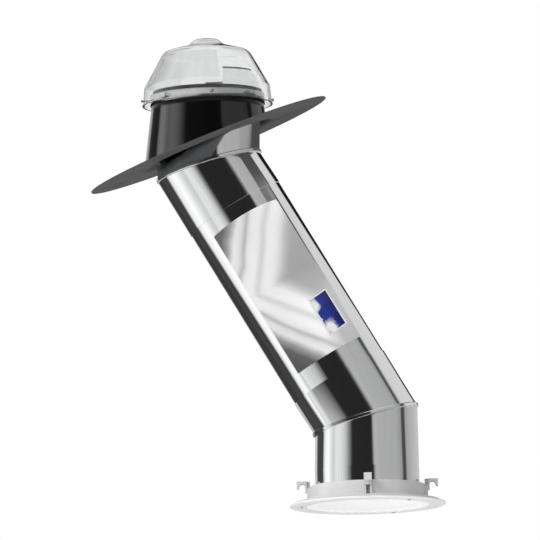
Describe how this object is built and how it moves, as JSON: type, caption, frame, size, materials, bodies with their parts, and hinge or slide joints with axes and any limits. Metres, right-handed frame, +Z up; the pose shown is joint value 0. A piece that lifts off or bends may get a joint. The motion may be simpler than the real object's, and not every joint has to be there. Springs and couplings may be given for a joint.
{
  "type": "tubular skylight",
  "caption": "Tubular skylight: clear roof dome, pitched black roof flashing, mirror tube with two swivel elbows and a cut-away window, ceiling ring with diffuser.",
  "frame": {"origin": "where the turret axis crosses the underside of the roof flange, the centre of its screw circle", "axes": "+Z up along the turret; the tube leans towards +X in the XZ plane; the roof rises towards +X, with the flashing turned 9.5 degrees on the turret axis"},
  "size_m": [0.8455, 0.617, 1.1599],
  "materials": {
    "clear_acrylic": "clear polished acrylic",
    "prism_film": "fine vertical prisms, translucent",
    "mirror_film": "bright reflector sheet",
    "ring_metal": "rolled aluminium",
    "black_seal": "matt seal",
    "black_flashing": "black gloss on the turret, dull on the flange",
    "mirror_tube": "mirror-bright aluminium sheet",
    "screw_steel": "zinc plated",
    "blue_label": "blank printed film, white border",
    "white_foam": "closed-cell foam",
    "white_ring": "satin white",
    "white_clamp": "satin white",
    "white_trim": "smooth white",
    "diffuser": "frosted acrylic"
  },
  "bodies": {
    "roof_group": {"outer_dome": "clear_acrylic", "dome_screws": "screw_steel", "prism_lens": "prism_film", "dome_mirror": "mirror_film", "dome_ring": "ring_metal", "tube_seal": "black_seal", "flashing": "black_flashing", "top_elbow_upper": "mirror_tube"},
    "leg": {"top_elbow_lower": "mirror_tube", "extension_tube": "mirror_tube", "inner_label": "blue_label", "bottom_elbow_upper": "mirror_tube"},
    "ceiling_group": {"bottom_tube": "mirror_tube", "ceiling_seal": "white_foam", "ceiling_ring": "white_ring", "clamp_screws": "screw_steel", "trim_ring": "white_trim", "trim_screws": "screw_steel", "diffuser_lens": "diffuser", "lens_gasket": "white_foam", "upper_lens": "diffuser"},
    "clamp_right": {"clamp_right": "white_clamp"},
    "clamp_back": {"clamp_back": "white_clamp"},
    "clamp_left": {"clamp_left": "white_clamp"},
    "clamp_front": {"clamp_front": "white_clamp"}
  },
  "joints": [
    {"name": "top_elbow_swivel", "type": "hinge", "parent": "roof_group", "child": "leg", "pos_m": [0, 0, -0.053], "axis": [0.2588, 0, -0.9659], "range_deg": [-180, 180]},
    {"name": "bottom_elbow_swivel", "type": "hinge", "parent": "leg", "child": "ceiling_group", "pos_m": [0.36585, 0, -0.68667], "axis": [0.2588, 0, -0.9659], "range_deg": [-180, 180]},
    {"name": "clamp_right_draw", "type": "slide", "parent": "ceiling_group", "child": "clamp_right", "axis": [0, 0, 1], "range_m": [-0.022, 0]},
    {"name": "clamp_back_draw", "type": "slide", "parent": "ceiling_group", "child": "clamp_back", "axis": [0, 0, 1], "range_m": [-0.022, 0]},
    {"name": "clamp_left_draw", "type": "slide", "parent": "ceiling_group", "child": "clamp_left", "axis": [0, 0, 1], "range_m": [-0.022, 0]},
    {"name": "clamp_front_draw", "type": "slide", "parent": "ceiling_group", "child": "clamp_front", "axis": [0, 0, 1], "range_m": [-0.022, 0]}
  ]
}
